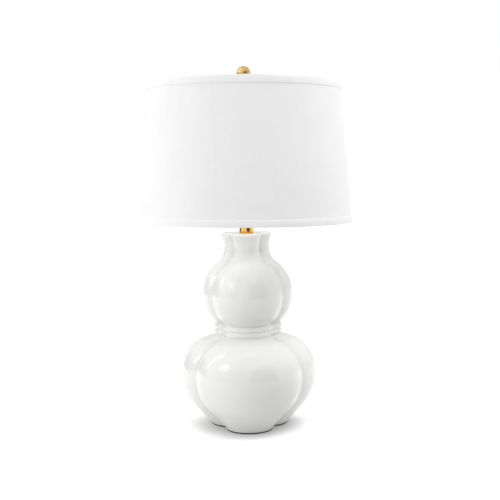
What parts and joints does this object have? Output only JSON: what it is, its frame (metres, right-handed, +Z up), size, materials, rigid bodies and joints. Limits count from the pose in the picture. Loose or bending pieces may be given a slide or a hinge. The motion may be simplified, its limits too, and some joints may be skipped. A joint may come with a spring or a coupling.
{
  "type": "table lamp",
  "caption": "Table lamp with a three-lobed double gourd ceramic body, brass neck, harp, tapered drum shade and ball finial.",
  "frame": {"origin": "on the surface that the lamp stands on, under the middle of the pipe and the shade", "axes": "+Z up along the pipe, -Y towards the viewer through the front lobe, +Y to the cord inlet"},
  "size_m": [0.4309, 0.431, 0.7169],
  "materials": {
    "glaze": "gloss white glaze",
    "felt": "black felt",
    "plated_steel": "zinc plated",
    "bushing_plastic": "moulded white",
    "satin_brass": "satin",
    "wire_brass": "bright dipped",
    "socket_brass": "bright stamped",
    "liner_card": "fish paper",
    "phenolic": "moulded",
    "linen": "white linen",
    "styrene": "translucent white sheet",
    "trim_tape": "folded linen tape",
    "white_wire": "white powder coat",
    "solder": "solder",
    "black_glass": "black glass",
    "cap_aluminium": "rolled thread",
    "frosted_glass": "frosted",
    "stem_glass": "clear"
  },
  "bodies": {
    "base": {"gourd_body": "glaze", "base_felt": "felt", "base_plate": "plated_steel", "base_washer": "plated_steel", "base_nut": "plated_steel", "lamp_pipe": "plated_steel", "cord_bushing": "bushing_plastic", "brass_neck": "satin_brass", "harp_saddle": "wire_brass", "socket_cap": "socket_brass", "set_screw": "plated_steel", "socket_shell": "socket_brass", "socket_liner": "liner_card", "socket_interior": "phenolic", "screw_shell": "socket_brass", "centre_contact": "socket_brass", "terminal_screws": "plated_steel", "switch_collar": "socket_brass"},
    "switch": {"switch_shaft": "socket_brass", "switch_knob": "phenolic"},
    "harp": {"harp_bow": "wire_brass"},
    "left_ferrule": {"ferrule_left": "wire_brass"},
    "right_ferrule": {"ferrule_right": "wire_brass"},
    "stud": {"harp_stud": "wire_brass"},
    "shade": {"shade_cover": "linen", "shade_liner": "styrene", "top_trim": "trim_tape", "bottom_trim": "trim_tape", "top_ring": "white_wire", "bottom_ring": "white_wire", "spider_hub": "wire_brass", "spider_arms": "wire_brass"},
    "finial": {"finial_insert": "plated_steel", "finial_base": "satin_brass", "finial_ball": "satin_brass"},
    "bulb": {"bulb_tip": "solder", "bulb_insulator": "black_glass", "bulb_cap": "cap_aluminium", "bulb_globe": "frosted_glass", "bulb_stem": "stem_glass", "bulb_filament": "plated_steel"}
  },
  "joints": [
    {"name": "switch_turn", "type": "hinge", "parent": "base", "child": "switch", "pos_m": [0, -0.02, 0.448], "axis": [0, -1, 0], "continuous": true},
    {"name": "harp_lift", "type": "slide", "parent": "base", "child": "harp", "axis": [0, 0, 1], "range_m": [0, 0.03]},
    {"name": "ferrule_left_slide", "type": "slide", "parent": "harp", "child": "left_ferrule", "axis": [0, 0, 1], "range_m": [0, 0.015]},
    {"name": "ferrule_right_slide", "type": "slide", "parent": "harp", "child": "right_ferrule", "axis": [0, 0, 1], "range_m": [0, 0.015]},
    {"name": "stud_swivel", "type": "hinge", "parent": "harp", "child": "stud", "pos_m": [0, 0, 0.666], "axis": [0, 0, 1], "continuous": true},
    {"name": "shade_lift", "type": "slide", "parent": "stud", "child": "shade", "axis": [0, 0, 1], "range_m": [0, 0.03]},
    {"name": "finial_turn", "type": "hinge", "parent": "shade", "child": "finial", "pos_m": [0, 0, 0.69], "axis": [0, 0, 1], "continuous": true},
    {"name": "bulb_turn", "type": "hinge", "parent": "base", "child": "bulb", "pos_m": [0, 0, 0.47], "axis": [0, 0, 1], "continuous": true}
  ]
}
